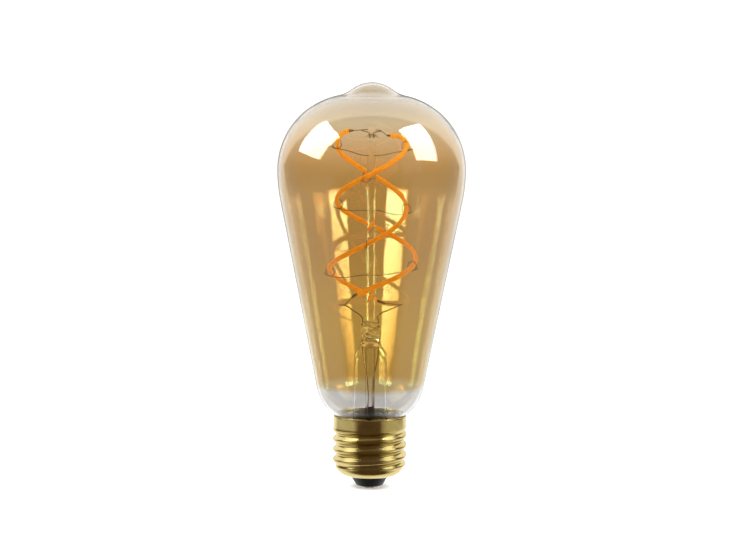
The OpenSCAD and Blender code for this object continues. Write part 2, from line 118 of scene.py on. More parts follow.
# %% [markdown]
# ## Room and light
# Clear and coated glass shows the room more than itself, so the room is half of the finish. Lamps like
# this are lit against a grey sweep and cut out on white, because grey behind the glass is what gives it
# a body and an edge. The room below does the same. The camera and the floor see plain white. What is
# seen through the glass is the grey sweep. What is seen in reflections is the studio: dark in front,
# bright behind and overhead, with a soft panel to the right that the cap picks up. A softbox hangs at
# each side. Each is a strong and a weak light in one place, because the glass needs a strong light and
# the cap's thread would burn out in it. Tall strip lights show only on the far wall of the glass.

# %% Floor
def floor():
    """A large pale disc under the lamp."""
    bm = bmesh.new()
    bmesh.ops.create_circle(bm, cap_ends=True, segments=96, radius=6.0)
    mesh = bpy.data.meshes.new("floor")
    bm.to_mesh(mesh)
    bm.free()
    piece = bpy.data.objects.new("floor", mesh)
    piece.visible_glossy = piece.visible_transmission = False
    bpy.context.scene.collection.objects.link(piece)
    piece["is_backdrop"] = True
    return piece


# %% Node helpers
def fresh_material(name):
    """A material with only an output and a Principled surface: (material, nodes, links, surface)."""
    material = bpy.data.materials.new(name)
    material.use_nodes = True
    tree = material.node_tree
    return material, tree.nodes, tree.links, tree.nodes["Principled BSDF"]


def object_point(nodes):
    """The place on the piece in metres, which is the same in every view."""
    return nodes.new("ShaderNodeTexCoord").outputs["Object"]


def noise(nodes, links, scale, detail=3.0, stretch=(1.0, 1.0, 1.0)):
    """A noise value over the piece, with scale in spots per metre and stretch by axis."""
    mapping = nodes.new("ShaderNodeMapping")
    mapping.inputs["Scale"].default_value = stretch
    texture = nodes.new("ShaderNodeTexNoise")
    texture.inputs["Scale"].default_value = scale
    texture.inputs["Detail"].default_value = detail
    links.new(object_point(nodes), mapping.inputs["Vector"])
    links.new(mapping.outputs["Vector"], texture.inputs["Vector"])
    return texture.outputs["Fac"]


def between(nodes, links, value, low, high, start=0.3, end=0.7):
    """value from start to end, spread from low to high."""
    spread = nodes.new("ShaderNodeMapRange")
    for key, number in (("From Min", start), ("From Max", end), ("To Min", low), ("To Max", high)):
        spread.inputs[key].default_value = number
    links.new(value, spread.inputs["Value"])
    return spread.outputs["Result"]


def ramp(nodes, links, value, stops):
    """A colour for value, from (position, colour) stops."""
    node = nodes.new("ShaderNodeValToRGB")
    band = node.color_ramp
    while len(band.elements) < len(stops):
        band.elements.new(1.0)
    for element, (position, colour) in zip(band.elements, stops):
        element.position = position
        element.color = (*colour, 1.0)
    links.new(value, node.inputs["Fac"])
    return node.outputs["Color"]


def bumped(nodes, links, surface, height, strength, distance):
    """Lets height, in units of distance in metres, tilt the surface."""
    bump = nodes.new("ShaderNodeBump")
    bump.inputs["Strength"].default_value = strength
    bump.inputs["Distance"].default_value = distance
    links.new(height, bump.inputs["Height"])
    links.new(bump.outputs["Normal"], surface.inputs["Normal"])
    return bump


def mottled(nodes, links, surface, spots, dark, light):
    """A colour that goes from dark to light with spots, which is a noise value."""
    links.new(ramp(nodes, links, spots, [(0.3, dark), (0.7, light)]), surface.inputs["Base Color"])


def worn(nodes, links, surface, spots, low, high):
    """A roughness that goes from low to high with spots."""
    links.new(between(nodes, links, spots, low, high), surface.inputs["Roughness"])


def maths(nodes, links, operation, *values):
    """One maths node over sockets and numbers."""
    node = nodes.new("ShaderNodeMath")
    node.operation = operation
    for socket, value in zip(node.inputs, values):
        if isinstance(value, (int, float)):
            socket.default_value = value
        else:
            links.new(value, socket)
    return node.outputs["Value"]


def chosen(nodes, links, share, low, high):
    """low where share is 0 and high where it is 1."""
    node = nodes.new("ShaderNodeMix")
    for key, value in ((0, share), (2, low), (3, high)):
        if isinstance(value, (int, float)):
            node.inputs[key].default_value = value
        else:
            links.new(value, node.inputs[key])
    return node.outputs[0]


def tinted(nodes, links, share, low, high):
    """The colour low where share is 0 and high where it is 1."""
    node = nodes.new("ShaderNodeMix")
    node.data_type = "RGBA"
    links.new(share, node.inputs["Factor"])
    for key, value in (("A", low), ("B", high)):
        if isinstance(value, tuple):
            node.inputs[key].default_value = (*value, 1.0)
        else:
            links.new(value, node.inputs[key])
    return node.outputs["Result"]


# %% Floor finish and softboxes
def floor_finish():
    material, nodes, links, surface = fresh_material("floor_paint")
    mottled(nodes, links, surface, noise(nodes, links, 3.0), (0.90,) * 3, (0.93,) * 3)
    surface.inputs["Roughness"].default_value = 0.7
    return material


floor().data.materials.append(floor_finish())


def softbox(name, place, across, width, height, radiance, target=(0.0, 0.0, 0.12)):
    """A soft rectangle of light in metres that faces target, with its width along across."""
    data = bpy.data.lights.new(name, "AREA")
    data.shape = "RECTANGLE"
    data.size, data.size_y = width, height
    data.energy = radiance * math.pi * width * height
    light = bpy.data.objects.new(name, data)
    z = (Vector(place) - Vector(target)).normalized()
    y = z.cross(Vector(across)).normalized()
    light.matrix_world = Matrix((y.cross(z), y, z)).transposed().to_4x4()
    light.location = place
    light.visible_camera = False
    bpy.context.scene.collection.objects.link(light)
    dim_when_deep(data)
    return light


# Light is told apart by how many faces of glass it has passed: the bulb's near wall has two of them
IN_THE_BULB, AT_THE_FAR_WALL, BACK_FROM_THE_FAR_WALL = 1.5, 2.5, 3.5
FAR_WALL_SHARE = 0.28
DAYLIGHT = (0.92, 0.96, 1.0, 1.0)


def dim_when_deep(data):
    """The far wall of the glass mirrors the softboxes only faintly, because its coat scatters them."""
    data.use_nodes = True
    nodes, links = data.node_tree.nodes, data.node_tree.links
    depth = nodes.new("ShaderNodeLightPath").outputs["Transmission Depth"]
    deep = maths(nodes, links, "GREATER_THAN", depth, AT_THE_FAR_WALL)
    links.new(chosen(nodes, links, deep, 1.0, FAR_WALL_SHARE), nodes["Emission"].inputs["Strength"])
    nodes["Emission"].inputs["Color"].default_value = DAYLIGHT


# Radiance of the strong pair, which the cap is kept out of, and of the weak pair
GLASS_SHARE, CAP_SHARE = 9.6, 1.6
LEFT = ((-0.59, -0.045, 0.53), (0.12, -1.0, -0.12), 0.52, 0.50)
RIGHT = ((0.55, -0.13, 0.52), (0.23, 0.95, -0.26), 0.40, 0.58)
glass_lights = [
    softbox("left_softbox", *LEFT, GLASS_SHARE),
    softbox("right_softbox", *RIGHT, GLASS_SHARE),
]
softbox("left_fill", *LEFT, CAP_SHARE)
softbox("right_fill", *RIGHT, CAP_SHARE)

# %% White room, grey sweep and studio
ROOM_WHITE = 1.3
SWEEP_LOW, SWEEP_HIGH = 0.52, 0.78
STUDIO_DIM, STUDIO_BRIGHT = 0.08, 1.15
FLOOR_SIDES = 0.8
INSIDE_DIM = 0.4
RIM_SHARE = 0.35
PANEL_AZIMUTH, PANEL_BRIGHT = 51, 0.42
DIM_COLOUR = (1.0, 0.62, 0.36)
STRIP_COLOUR = (0.44, 1.12, 2.2)
SIDE_STRIP_COLOUR = (0.92, 0.95, 1.05)
STRIP_BRIGHT = 32.0
STRIPS = ((-36, 15, 1.0), (48, 13, 0.85), (-82, 9, 0.2), (80, 10, 0.2))

# Where each part of the room starts to change and where the change is complete. The values are parts
# of a direction of length 1, apart from the panel's, in degrees, and the side strips', in radians.
BACK_FADE, RIM_FADE = (0.66, 0.76), (0.93, 0.975)
SIDE_FADE, BELOW_FADE = (0.55, 0.8), (-0.25, 0.12)
SWEEP_FADE = (-0.16, -0.06)
PANEL_FADE, PANEL_HEIGHT_FADE = (11, 19), (0.22, 0.3)
STRIP_FOOT_FADE, STRIP_TOP_FADE = (0.215, 0.285), (0.385, 0.41)
SIDE_STRIP_FADE = (1.15, 1.2)


def angle_off(nodes, links, azimuth, middle):
    """How far azimuth is from middle, which is in degrees."""
    return maths(nodes, links, "ABSOLUTE", maths(nodes, links, "SUBTRACT", azimuth, math.radians(middle)))


def strips(nodes, links, azimuth, height):
    """Tall strip lights by middle azimuth, half width and share of full light.

    They fade in with height.
    """
    total = 0.0
    for middle, half, share in STRIPS:
        off = angle_off(nodes, links, azimuth, middle)
        near, far = math.radians(half - 2), math.radians(half + 1)
        wide = between(nodes, links, off, share, 0.0, start=near, end=far)
        total = maths(nodes, links, "MAXIMUM", wide, total)
    foot = between(nodes, links, height, 0.0, 1.0, *STRIP_FOOT_FADE)
    top = between(nodes, links, height, 1.0, 0.0, *STRIP_TOP_FADE)
    return maths(nodes, links, "MULTIPLY", total, maths(nodes, links, "MULTIPLY", foot, top))


def room():
    """What a ray that leaves the lamp sees, by the kind of ray that it is."""
    world = bpy.data.worlds.new("room")
    bpy.context.scene.world = world
    world.use_nodes = True
    nodes, links = world.node_tree.nodes, world.node_tree.links

    def does(operation, *values):
        return maths(nodes, links, operation, *values)

    def fade(value, low, high, start, end):
        return between(nodes, links, value, low, high, start=start, end=end)

    split = nodes.new("ShaderNodeSeparateXYZ")
    links.new(nodes.new("ShaderNodeTexCoord").outputs["Generated"], split.inputs["Vector"])
    x, y, z = split.outputs["X"], split.outputs["Y"], split.outputs["Z"]
    path = nodes.new("ShaderNodeLightPath")
    azimuth = does("ARCTAN2", x, does("MULTIPLY", y, -1.0))

    # The studio: bright back and ceiling, floor at the sides, what lies inside the bulb, and the panel
    overhead = does("MULTIPLY_ADD", does("ABSOLUTE", z), 0.65, y)
    back = fade(overhead, STUDIO_DIM, STUDIO_BRIGHT, *BACK_FADE)
    back = does("MULTIPLY", back, fade(y, 1.0, RIM_SHARE, *RIM_FADE))
    side = fade(does("ABSOLUTE", x), 0.0, FLOOR_SIDES, *SIDE_FADE)
    studio = does("MAXIMUM", back, does("MULTIPLY", side, fade(z, 1.0, 0.0, *BELOW_FADE)))
    inside = does("GREATER_THAN", path.outputs["Transmission Depth"], IN_THE_BULB)
    studio = does("MAXIMUM", studio, does("MULTIPLY", inside, INSIDE_DIM))
    off = angle_off(nodes, links, azimuth, PANEL_AZIMUTH)
    panel = fade(off, PANEL_BRIGHT, 0.0, *(math.radians(angle) for angle in PANEL_FADE))
    upright = fade(does("ABSOLUTE", z), 1.0, 0.0, *PANEL_HEIGHT_FADE)
    studio = does("MAXIMUM", studio, does("MULTIPLY", panel, upright))

    # Which ray sees what
    reflected = does("GREATER_THAN", path.outputs["Glossy Depth"], 0.5)
    scattered = does("GREATER_THAN", path.outputs["Diffuse Depth"], 0.5)
    plain = does("MAXIMUM", path.outputs["Is Camera Ray"], scattered)
    deep = does("GREATER_THAN", path.outputs["Transmission Depth"], BACK_FROM_THE_FAR_WALL)
    mirrored = does("MULTIPLY", does("MULTIPLY", reflected, deep), does("SUBTRACT", 1.0, scattered))
    shown = does("MULTIPLY", strips(nodes, links, azimuth, z), mirrored)
    glass = chosen(nodes, links, reflected, fade(z, SWEEP_LOW, SWEEP_HIGH, *SWEEP_FADE), studio)
    level = chosen(nodes, links, plain, glass, ROOM_WHITE)
    sky = nodes["Background"]
    links.new(chosen(nodes, links, shown, level, STRIP_BRIGHT), sky.inputs["Strength"])
    brightness = chosen(nodes, links, reflected, 1.0, studio)
    warm = ramp(nodes, links, brightness, [(0.08, DIM_COLOUR), (0.5, (1.0, 1.0, 1.0))])
    to_side = fade(does("ABSOLUTE", azimuth), 0.0, 1.0, *SIDE_STRIP_FADE)
    strip_colour = tinted(nodes, links, to_side, STRIP_COLOUR, SIDE_STRIP_COLOUR)
    links.new(tinted(nodes, links, shown, warm, strip_colour), sky.inputs["Color"])


room()
bpy.context.scene.view_settings.view_transform = "Standard"

# %% [markdown]
# ## Turned shapes
# The bulb, the stem, the insulator and the contact are all round about one axis. On a lathe or in a
# glass mould, one outline makes the whole piece. The helper below sweeps an outline round the axis. A
# closed outline gives a wall with an inside and an outside, and an outline that starts and ends on
# the axis gives a solid. Rings of real points keep the silhouette round where the camera is close.

# %% Outlines and turning
def arc(centre, radius, start, end, count):
    """Points on an arc, in millimetres, with angles in degrees."""
    angles = [math.radians(start + (end - start) * i / count) for i in range(count + 1)]
    return [(centre[0] + radius * math.cos(a), centre[1] + radius * math.sin(a)) for a in angles]


def angle_to(a, b):
    return math.degrees(math.atan2(b[1] - a[1], b[0] - a[0]))


def smooth_piece(name, points, faces):
    """A smooth-shaded object at the origin, from points in millimetres."""
    mesh = bpy.data.meshes.new(name)
    mesh.from_pydata([Vector(p) * MM for p in points], [], faces)
    mesh.validate()
    mesh.shade_smooth()
    piece = bpy.data.objects.new(name, mesh)
    bpy.context.scene.collection.objects.link(piece)
    return piece


def outwards(piece):
    """Merges doubled points and turns every face outwards."""
    bm = bmesh.new()
    bm.from_mesh(piece.data)
    bmesh.ops.remove_doubles(bm, verts=bm.verts, dist=1e-7)
    bmesh.ops.recalc_face_normals(bm, faces=bm.faces)
    bm.to_mesh(piece.data)
    bm.free()


def turned(name, outline, steps=128):
    """An outline of (radius, height) points turned round the axis. A point on the axis is one pole."""
    points, rows = [], []
    for radius, height in outline:
        count = 1 if radius < 1e-6 else steps
        rows.append((len(points), count))
        points += [
            (radius * math.cos(math.tau * j / steps), radius * math.sin(math.tau * j / steps), height)
            for j in range(count)
        ]
    faces = []
    for (a, a_count), (b, b_count) in zip(rows, rows[1:] + rows[:1]):
        for j in range(steps):
            k = (j + 1) % steps
            corners = [a + j % a_count, b + j % b_count, b + k % b_count, a + k % a_count]
            face = list(dict.fromkeys(corners))
            if len(face) > 2:
                faces.append(face)
    piece = smooth_piece(name, points, faces)
    outwards(piece)
    return piece


def finished(piece, slot, material, *nodes):
    """Gives a piece its finish and its body, and hides the CAD nodes that it stands for. slot is not used.
    """
    if material is not None:
        piece.data.materials.clear()
        piece.data.materials.append(material)
    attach(piece, BODY)
    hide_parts(*nodes)
    print(piece.name, len(piece.data.polygons), "faces")
    return piece


# %% [markdown]
# ## The glass bulb
# The bulb is blown in a mould as one skin of glass, about a millimetre thick, then sprayed inside with
# a thin gold-amber lustre. The coat stops short of the cap, so a band of clear glass shows there. Its
# outline is a chain of arcs that touch: tip, hollow, crown, a slow turn, a straight taper, a bottom
# shoulder, and a hollow into the neck. The wall is modelled with both faces, because a real wall bends
# light twice and that draws part of the pale rim. The rest of the rim is a painted pale rim in the
# finish, where the glass turns away from view. The inner face carries the value "lustre", which the
# finish turns into a metal shine, so the outer face keeps the white gloss of bare glass.

# %% Outline of the bulb
GLASS_T = 0.9
TAPER = math.radians(11.13)
BELLY_Z = 111.5
TAPER_END_Z = 34.9
NECK_R = 11.3
MOUTH_R = 12.8
TIP_R, TIP_BLEND, CROWN_R, TURN_R, SHOULDER_R = 11.5, 12.0, 26.5, 54.0, 15.0
TAPER_STEPS = 24

tip_c = Vector((0.0, lamp_h - TIP_R))
crown_c = Vector((bulb_r - CROWN_R, BELLY_Z))
turn_c = Vector((bulb_r - TURN_R, BELLY_Z))
taper_side = Vector((math.cos(TAPER), -math.sin(TAPER)))


def touching(a, a_radius, b, b_radius, blend):
    """Middle of an arc of radius blend that touches two circles from outside, on their right."""
    way = b - a
    near, far = a_radius + blend, b_radius + blend
    along = (near ** 2 - far ** 2 + way.length_squared) / (2 * way.length)
    u = way.normalized()
    return a + u * along + Vector((-u.y, u.x)) * math.sqrt(near ** 2 - along ** 2)


blend_c = touching(tip_c, TIP_R, crown_c, CROWN_R, TIP_BLEND)
taper_top = turn_c + taper_side * TURN_R
taper_low = Vector((taper_top.x - (taper_top.y - TAPER_END_Z) * math.tan(TAPER), TAPER_END_Z))
low_c = taper_low - taper_side * SHOULDER_R
mouth_a = -math.acos((MOUTH_R - low_c.x) / SHOULDER_R)
mouth_side = Vector((math.cos(mouth_a), math.sin(mouth_a)))
neck_blend = (MOUTH_R - NECK_R) / (1 - mouth_side.x)
neck_c = low_c + mouth_side * (SHOULDER_R + neck_blend)


def bulb_outline(inset):
    """The outline moved inwards by inset, from the tip down to the end of the neck."""
    a_tip, a_crown = angle_to(tip_c, blend_c), angle_to(crown_c, blend_c)
    a_mouth = math.degrees(mouth_a)
    top = math.degrees(-TAPER)
    points = arc(tip_c, TIP_R - inset, 90, a_tip, 16)
    points += arc(blend_c, TIP_BLEND + inset, a_tip + 182, a_crown + 180, 8)
    points += arc(crown_c, CROWN_R - inset, a_crown - 2, 0, 44)
    points += arc(turn_c, TURN_R - inset, -0.8, top, 12)
    last = points[-1]
    start = low_c + taper_side * (SHOULDER_R - inset)
    for i in range(1, TAPER_STEPS):
        share = i / TAPER_STEPS
        points.append((last[0] + (start.x - last[0]) * share, last[1] + (start.y - last[1]) * share))
    points += arc(low_c, SHOULDER_R - inset, top, a_mouth, 22)
    points += arc(neck_c, neck_blend + inset, a_mouth + 184, 180, 10)
    points.append((NECK_R - inset, neck_z))
    return points


# %% Blow the bulb
def glass_bulb():
    outer, inner = bulb_outline(0.0), bulb_outline(GLASS_T)
    piece = turned("glass_bulb", outer + inner[::-1], steps=192)
    lustre = piece.data.attributes.new("lustre", "FLOAT", "POINT")
    for vertex in piece.data.vertices:
        lustre.data[vertex.index].value = inner_share(vertex.co, inner)
    return piece


def inner_share(point, inner):
    """1 on the inner face and 0 on the outer face: the nearer outline decides."""
    radius, height = math.hypot(point.x, point.y) / MM, point.z / MM
    gap = min(math.hypot(radius - r, height - z) for r, z in inner)
    return 1.0 if gap < GLASS_T / 3 else 0.0


bulb = glass_bulb()


# %% [markdown]
# ### Amber lustre
# One finish serves the whole bulb. Height along the lamp picks the tint: bare near the cap, deep gold
# over the body, browner higher up, paler towards the crown and a little darker again at the tip. The
# same height and the inner face's value set how much of the face is metal.

# %% Amber glass finish
COAT_EDGE_Z = 35.8


def along_lamp(nodes, links):
    """Height along the lamp, from 0 at the contact to 1 at the tip."""
    split = nodes.new("ShaderNodeSeparateXYZ")
    links.new(object_point(nodes), split.inputs["Vector"])
    return between(nodes, links, split.outputs["Z"], 0.0, 1.0, start=0.0, end=lamp_h * MM)


def amber_glass():
    material, nodes, links, surface = fresh_material("amber_glass")
    wander = between(nodes, links, noise(nodes, links, 90.0, stretch=(1, 1, 0.4)), -0.004, 0.004)
    height = maths(nodes, links, "ADD", along_lamp(nodes, links), wander)
    edge = COAT_EDGE_Z / lamp_h
    clear, gold = (0.97, 0.966, 0.955), (0.86, 0.66, 0.30)
    brown, pale = (0.77, 0.57, 0.285), (0.97, 0.86, 0.67)
    tint = ramp(nodes, links, height, [
        (edge - 0.006, clear), (edge + 0.008, gold), (0.40, gold), (0.60, brown), (0.76, brown),
        (0.83, (0.92, 0.71, 0.45)), (0.90, pale), (0.95, (0.86, 0.78, 0.65)), (1.0, (0.80, 0.73, 0.60)),
    ])
    # Where the glass turns away from view its colour goes to a pale grey: a painted pale rim that stands in
    # for reflected light.
    facing = nodes.new("ShaderNodeLayerWeight").outputs["Facing"]
    painted_rim_share = between(nodes, links, facing, 0.0, 1.0, start=0.38, end=0.88)
    links.new(tinted(nodes, links, painted_rim_share, tint, (0.82, 0.785, 0.735)), surface.inputs["Base Color"])
    shine = ramp(nodes, links, height, [
        (edge - 0.006, (0.0,) * 3), (edge + 0.008, (0.07,) * 3), (0.75, (0.07,) * 3), (0.9, (0.05,) * 3),
    ])
    lustre = nodes.new("ShaderNodeAttribute")
    lustre.attribute_name = "lustre"
    metal = maths(nodes, links, "MULTIPLY", shine, lustre.outputs["Fac"])
    links.new(metal, surface.inputs["Metallic"])
    surface.inputs["Transmission Weight"].default_value = 1.0
    surface.inputs["IOR"].default_value = 1.5
    worn(nodes, links, surface, noise(nodes, links, 400.0), 0.0, 0.03)
    ripple = bumped(nodes, links, surface, noise(nodes, links, 260.0, 2.0, (1, 1, 0.05)), 1.0, 0.0003)
    depth = between(nodes, links, lustre.outputs["Fac"], 0.03, 0.16, start=0.0, end=1.0)
    links.new(depth, ripple.inputs["Strength"])
    return material


finished(bulb, "amber_glass", amber_glass(), "glass_envelope")

# %% [markdown]
# ## The glass stem
# The stem is a flared tube, melted at its top round the two lead wires and pinched flat into a press.
# A thin exhaust tube runs down inside it: the air was drawn out through it before it was sealed off. A
# solid rod grows out of the press and ends in a pressed bead. They are turned like the bulb, except for
# the press, whose squarish, slightly lumpy block is a stack of rounded rectangles.

# %% Stem outlines
TUBE_T = 0.8
TUBE_TOP_R = 4.0
TUBE_DOME_C, TUBE_DOME_R = (1.7, 46.2), 4.1
FLARE_C, FLARE_R = (13.4, 25.4), 7.0
FOOT_GAP = 0.02
exhaust_r = size_of("exhaust_tube")[1].x
exhaust_low = size_of("exhaust_tube")[0].z
EXHAUST_BORE = 1.05


def stem_outline(inset):
    points = [(TUBE_TOP_R - inset, press_z[0] - 0.02)]
    points += arc(TUBE_DOME_C, TUBE_DOME_R - inset, 54, 0, 16)
    points += arc(FLARE_C, FLARE_R + inset, 180, 244, 26)
    return points


def stem_tube():
    foot = neck_z - FOOT_GAP
    rim = [(NECK_R - GLASS_T, foot), (NECK_R, foot), (NECK_R, foot - TUBE_T)]
    return turned("stem_glass", stem_outline(0.0) + rim + stem_outline(TUBE_T)[::-1], steps=96)


def exhaust_tube():
    low = exhaust_low + exhaust_r
    top = press_z[0] - 0.02
    outer = arc((0.0, low), exhaust_r, -90, 0, 10) + [(exhaust_r, top), (0.0, top)]
    bore = [(0.0, top - 1), (EXHAUST_BORE, top - 1), (EXHAUST_BORE, low), (0.0, low)]
    piece = turned("exhaust_glass", outer, steps=48)
    hollow = turned("exhaust_bore", bore, steps=48)
    bm = bmesh.new()
    bm.from_mesh(hollow.data)
    bmesh.ops.reverse_faces(bm, faces=bm.faces)
    bm.from_mesh(piece.data)
    bm.to_mesh(piece.data)
    bm.free()
    bpy.data.objects.remove(hollow)
    piece.data.shade_smooth()
    return piece


def lump(a, z):
    """How far a soft, pinched surface stands out at angle a and height z."""
    dents = ((3, 1.7, 0.3), (5, -2.6, 1.1), (4, 4.1, 2.0), (7, 3.3, 0.7))
    return sum(math.sin(k * a + w * z + p) for k, w, p in dents) / len(dents)


def rounded_slab(half_x, half_y, power, z, rough, count):
    """One level of a block with rounded corners and a dented face."""
    points = []
    for j in range(count):
        a = math.tau * j / count
        c, s = math.cos(a), math.sin(a)
        r = (abs(c) ** power + abs(s) ** power) ** (-1 / power)
        out = 1 + rough * lump(a, z) / half_y
        points.append((half_x * r * c * (1 + rough * lump(a, z) / half_x), half_y * r * s * out, z))
    return points


def stem_press():
    """Levels of (height, half width, half thickness, squareness, dents), from the tube up to the rod."""
    low, high = press_z
    keys = [
        (low + 0.02, 3.9, 3.9, 2.0, 0.0), (low + 0.8, 3.7, 3.4, 2.1, 0.1),
        (low + 1.6, 3.3, 2.5, 2.4, 0.2), (low + 2.4, 2.9, 1.8, 3.0, 0.3), (low + 3.2, 2.95, 1.55, 3.4, 0.35),
        (low + 5.0, 2.95, 1.5, 3.8, 0.35), (low + 7.4, 3.0, 1.5, 3.8, 0.35),
        (high - 0.3, 2.9, 1.35, 3.0, 0.25), (high - 0.05, 2.5, 1.1, 2.6, 0.05),
    ]
    count = 72
    levels = []
    for a, b in zip(keys, keys[1:]):
        steps = max(1, round((b[0] - a[0]) / 0.2))
        levels += [[p + (q - p) * i / steps for p, q in zip(a, b)] for i in range(steps)]
    levels.append(keys[-1])
    points, faces = [], []
    for z, half_x, half_y, power, rough in levels:
        points += rounded_slab(half_x, half_y, power, z, rough, count)
    for i in range(len(levels) - 1):
        for j in range(count):
            k = (j + 1) % count
            a, b = i * count, (i + 1) * count
            faces.append([a + j, a + k, b + k, b + j])
    faces.append(list(range(count))[::-1])
    faces.append(list(range((len(levels) - 1) * count, len(levels) * count)))
    return smooth_piece("stem_pinch", points, faces)


def rod_outline():
    """The drawn rod and the bead that is melted onto its top."""
    low, high = rod_z
    bead_low, bead_high = size_of("rod_bead")[0].z, size_of("rod_bead")[1].z
    r = size_of("rod_bead")[1].x
    points = [(0.0, low), (rod_r * 0.9, low), (rod_r * 1.04, low + 0.5), (rod_r * 0.98, low + 2.5)]
    points += [(rod_r, low + 8), (rod_r * 0.97, low + 25)]
    points += [(rod_r, high - 12), (rod_r * 0.98, bead_low - 0.8)]
    points += arc((rod_r + 0.5, bead_low - 0.3), 0.5, 180, 100, 5)
    points += arc((r - 0.9, bead_low + 1.1), 0.9, -70, 80, 14)
    return points + arc((0.0, bead_high - 3.6), 3.6, 65, 90, 6)[:-1] + [(0.0, bead_high)]


# %% [markdown]
# ### Clear glass
# Stem glass is plain, with a slight drawn waviness along its length, which is what makes lines shift
# behind it. The rod and bead have a hint of warmth from the flame. Real glass has a refractive index of
# 1.5. The tube and the rod are given less, because their edges and glare would stand out too much.

# %% Clear glass finish
def clear_glass(name, tint, ripple, bend):
    material, nodes, links, surface = fresh_material(name)
    mottled(nodes, links, surface, noise(nodes, links, 120.0), tint, tuple(c * 0.985 for c in tint))
    surface.inputs["Transmission Weight"].default_value = 1.0
    surface.inputs["IOR"].default_value = bend
    worn(nodes, links, surface, noise(nodes, links, 700.0), 0.0, 0.03)
    bumped(nodes, links, surface, noise(nodes, links, 260.0, 1.0, (1, 1, 0.25)), ripple, 0.0002)
    return material


tube_finish = clear_glass("tube_clear_glass", (0.985, 0.985, 0.975), 0.1, 1.035)
press_finish = clear_glass("press_clear_glass", (0.975, 0.985, 0.98), 1.0, 1.5)
rod_finish = clear_glass("rod_clear_glass", (0.985, 0.97, 0.93), 0.05, 1.22)
finished(stem_tube(), "clear_glass", tube_finish, "stem_tube")
finished(stem_press(), "clear_glass", press_finish, "stem_press")
finished(exhaust_tube(), "clear_glass", tube_finish, "exhaust_tube")
finished(turned("rod_glass", rod_outline(), 64), "rod_glass", rod_finish, "centre_rod", "rod_bead")

# %% [markdown]
# ## Wires, sleeves and hooks
# Everything long and thin in the lamp is a section that follows a path, so one Geometry Nodes tree makes
# them all: it takes a curve, sweeps a round or flattened section along it, closes the ends and ripples
# the surface a little. The curve passes smoothly through a few listed points, or through points
# worked out from the spiral's rule. The result is turned into a plain mesh, because the modifier is only
# the tool and the mesh is the piece.

# %% The sweeping tree
def sweep_tree():
    tree = bpy.data.node_groups.new("sweep_along_curve", "GeometryNodeTree")
    face = tree.interface
    face.new_socket("Path", in_out="INPUT", socket_type="NodeSocketGeometry")
    for name in ("Radius", "Flatness", "Spacing", "Ripple"):
        face.new_socket(name, in_out="INPUT", socket_type="NodeSocketFloat")
    face.new_socket("Sides", in_out="INPUT", socket_type="NodeSocketInt")
    face.new_socket("Finish", in_out="INPUT", socket_type="NodeSocketMaterial")
    face.new_socket("Piece", in_out="OUTPUT", socket_type="NodeSocketGeometry")
    nodes, links = tree.nodes, tree.links
    start, end = nodes.new("NodeGroupInput"), nodes.new("NodeGroupOutput")

    resample = nodes.new("GeometryNodeResampleCurve")
    resample.mode = "LENGTH"
    links.new(start.outputs["Path"], resample.inputs["Curve"])
    links.new(start.outputs["Spacing"], resample.inputs["Length"])

    circle = nodes.new("GeometryNodeCurvePrimitiveCircle")
    links.new(start.outputs["Sides"], circle.inputs["Resolution"])
    links.new(start.outputs["Radius"], circle.inputs["Radius"])
    flatten = nodes.new("GeometryNodeTransform")
    shape = nodes.new("ShaderNodeCombineXYZ")
    links.new(start.outputs["Flatness"], shape.inputs["X"])
    shape.inputs["Y"].default_value = 1.0
    shape.inputs["Z"].default_value = 1.0
    links.new(circle.outputs["Curve"], flatten.inputs["Geometry"])
    links.new(shape.outputs["Vector"], flatten.inputs["Scale"])

    sweep = nodes.new("GeometryNodeCurveToMesh")
    sweep.inputs["Fill Caps"].default_value = True
    links.new(resample.outputs["Curve"], sweep.inputs["Curve"])
    links.new(flatten.outputs["Geometry"], sweep.inputs["Profile Curve"])

    ripple = nodes.new("ShaderNodeTexNoise")
    ripple.inputs["Scale"].default_value = 700.0
    ripple.inputs["Detail"].default_value = 1.0
    drop = maths(nodes, links, "MULTIPLY", start.outputs["Ripple"], -0.5)
    lift = maths(nodes, links, "MULTIPLY_ADD", ripple.outputs["Fac"], start.outputs["Ripple"], drop)
    normal = nodes.new("GeometryNodeInputNormal")
    move = nodes.new("ShaderNodeVectorMath")
    move.operation = "SCALE"
    links.new(normal.outputs["Normal"], move.inputs["Vector"])
    links.new(lift, move.inputs["Scale"])
    shift = nodes.new("GeometryNodeSetPosition")
    links.new(sweep.outputs["Mesh"], shift.inputs["Geometry"])
    links.new(move.outputs["Vector"], shift.inputs["Offset"])

    real = nodes.new("GeometryNodeRealizeInstances")
    paint = nodes.new("GeometryNodeSetMaterial")
    links.new(shift.outputs["Geometry"], real.inputs["Geometry"])
    links.new(real.outputs["Geometry"], paint.inputs["Geometry"])
    links.new(start.outputs["Finish"], paint.inputs["Material"])
    links.new(paint.outputs["Geometry"], end.inputs["Piece"])
    return tree


SWEEP = sweep_tree()


def plain_mesh(source, name):
    """The evaluated result of source as a plain mesh object, and source is taken away."""
    depsgraph = bpy.context.evaluated_depsgraph_get()
    mesh = bpy.data.meshes.new_from_object(source.evaluated_get(depsgraph))
    mesh.shade_smooth()
    bpy.data.objects.remove(source)
    piece = bpy.data.objects.new(name, mesh)
    bpy.context.scene.collection.objects.link(piece)
    return piece


